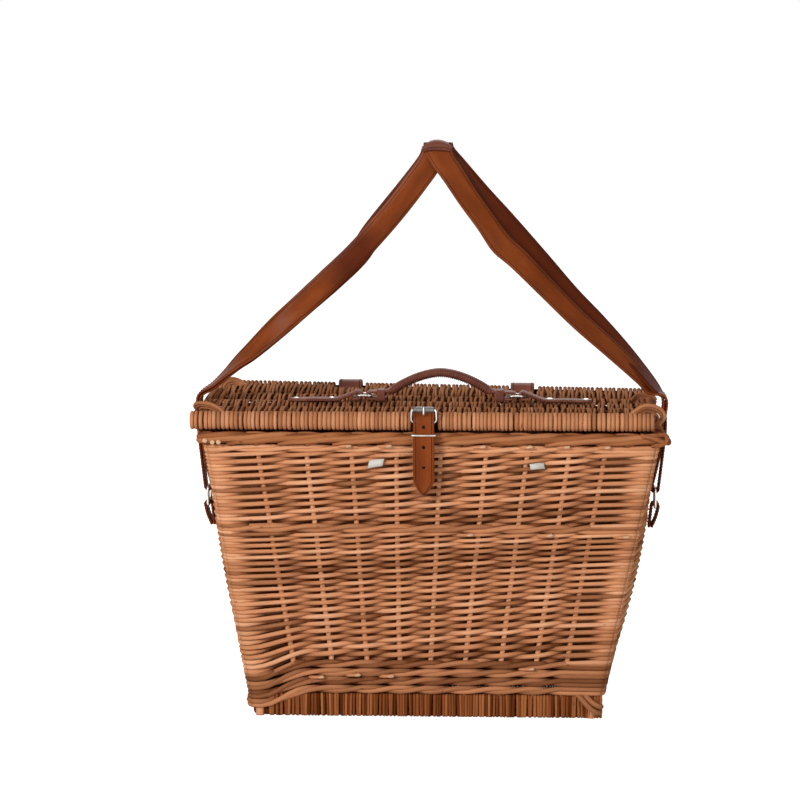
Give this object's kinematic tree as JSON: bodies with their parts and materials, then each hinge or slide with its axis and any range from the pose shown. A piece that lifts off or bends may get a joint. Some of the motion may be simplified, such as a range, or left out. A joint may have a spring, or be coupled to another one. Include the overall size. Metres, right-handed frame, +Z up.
{
  "type": "wicker picnic basket",
  "caption": "Tapered woven willow picnic basket with a hinged lid, a leather buckle clasp, a short carrying handle on the lid and a doubled leather shoulder strap.",
  "frame": {"origin": "centre of the base's underside, on the ground", "axes": "+Z up, -Y towards the clasp side, +X to the right seen from the clasp side"},
  "size_m": [0.4816, 0.2948, 0.5776],
  "materials": {
    "willow": "satin peeled willow, woven",
    "willow_dark": "satin stained willow, wrapped",
    "leather": "smooth waxed tan leather, dark brown stitching",
    "steel": "polished nickel plate",
    "steel_dark": "worn plated roller",
    "cotton": "woven cotton tape"
  },
  "bodies": {
    "basket": {"base_edge_front": "willow_dark", "base_edge_back": "willow_dark", "base_edge_left": "willow_dark", "base_edge_right": "willow_dark", "base_panel": "willow", "wall_front": "willow", "wall_back": "willow", "wall_left": "willow", "wall_right": "willow", "corner_post_front_left": "willow", "corner_post_back_left": "willow", "corner_post_front_right": "willow", "corner_post_back_right": "willow", "rim_front": "willow", "rim_back": "willow", "rim_left": "willow", "rim_right": "willow", "hinge_strap_left": "leather", "hinge_strap_right": "leather", "buckle_chape": "leather", "chape_rivet": "steel", "strap_keeper": "steel", "side_tab_left": "leather", "side_rivet_left": "steel", "side_tab_right": "leather", "side_rivet_right": "steel", "strap_leg_left": "leather", "strap_leg_right": "leather", "tape_end_left": "cotton", "tape_end_right": "cotton"},
    "lid": {"lid_front_stick": "willow_dark", "lid_rear_stick": "willow_dark", "lid_left_stick": "willow_dark", "lid_right_stick": "willow_dark", "lid_panel": "willow_dark", "lid_corner_loop_front_left": "willow", "lid_corner_loop_back_left": "willow", "lid_corner_loop_front_right": "willow", "lid_corner_loop_back_right": "willow", "handle_tab_left": "leather", "handle_rivet_left_1": "steel", "handle_rivet_left_2": "steel", "handle_tab_right": "leather", "handle_rivet_right_1": "steel", "handle_rivet_right_2": "steel"},
    "clasp_strap": {"clasp_strap": "leather"},
    "buckle": {"buckle_frame": "steel"},
    "roller": {"buckle_roller": "steel_dark"},
    "prong": {"buckle_prong": "steel"},
    "handle": {"handle_grip": "leather", "handle_keeper_left": "leather", "handle_keeper_right": "leather"},
    "handle_ring_left": {"handle_ring_left": "steel"},
    "handle_ring_right": {"handle_ring_right": "steel"},
    "side_ring_left": {"side_ring_left": "steel"},
    "side_ring_right": {"side_ring_right": "steel"},
    "shoulder_strap": {"shoulder_strap_right_front": "leather", "shoulder_strap_left_front": "leather", "strap_apex_keeper": "leather"}
  },
  "joints": [
    {"name": "lid_hinge", "type": "hinge", "parent": "basket", "child": "lid", "pos_m": [-0.004, 0.1305, 0.3035], "axis": [-1, 0, 0], "range_deg": [0, 110]},
    {"name": "clasp_strap_swing", "type": "hinge", "parent": "lid", "child": "clasp_strap", "pos_m": [-0.0018, -0.1305, 0.3035], "axis": [-1, 0, 0], "range_deg": [0, 90], "deforming": ["clasp_strap"]},
    {"name": "buckle_pivot", "type": "hinge", "parent": "basket", "child": "buckle", "pos_m": [-0.0018, -0.1436, 0.3035], "axis": [1, 0, 0], "range_deg": [0, 40]},
    {"name": "prong_pivot", "type": "hinge", "parent": "buckle", "child": "prong", "pos_m": [-0.0018, -0.1436, 0.3035], "axis": [1, 0, 0], "range_deg": [0, 60]},
    {"name": "roller_spin", "type": "hinge", "parent": "buckle", "child": "roller", "pos_m": [-0.0018, -0.1464, 0.3167], "axis": [1, 0, 0], "continuous": true},
    {"name": "handle_lift", "type": "slide", "parent": "lid", "child": "handle", "axis": [0, 0, 1], "range_m": [0, 0.006]},
    {"name": "handle_ring_left_tilt", "type": "hinge", "parent": "lid", "child": "handle_ring_left", "pos_m": [-0.0756, 0, 0.3163], "axis": [0, -1, 0], "range_deg": [0, 25.5]},
    {"name": "handle_ring_right_tilt", "type": "hinge", "parent": "lid", "child": "handle_ring_right", "pos_m": [0.0944, 0, 0.3163], "axis": [0, 1, 0], "range_deg": [0, 25.5]},
    {"name": "side_ring_left_rock", "type": "hinge", "parent": "basket", "child": "side_ring_left", "pos_m": [-0.2295, 0, 0.203], "axis": [0, -1, 0], "range_deg": [0, 15], "deforming": ["strap_leg_left"]},
    {"name": "side_ring_right_rock", "type": "hinge", "parent": "basket", "child": "side_ring_right", "pos_m": [0.2295, 0, 0.203], "axis": [0, 1, 0], "range_deg": [0, 15], "deforming": ["strap_leg_right"]},
    {"name": "shoulder_strap_fold", "type": "hinge", "parent": "basket", "child": "shoulder_strap", "pos_m": [0, 0, 0.315], "axis": [1, 0, 0], "range_deg": [-80, 80], "deforming": ["shoulder_strap_right_front", "shoulder_strap_left_front", "strap_apex_keeper"]}
  ],
  "couplings": [
    {"joint": "handle_ring_left_tilt", "follows": "handle_lift", "rad_per_m": 73.817},
    {"joint": "handle_ring_right_tilt", "follows": "handle_lift", "rad_per_m": 73.817}
  ]
}
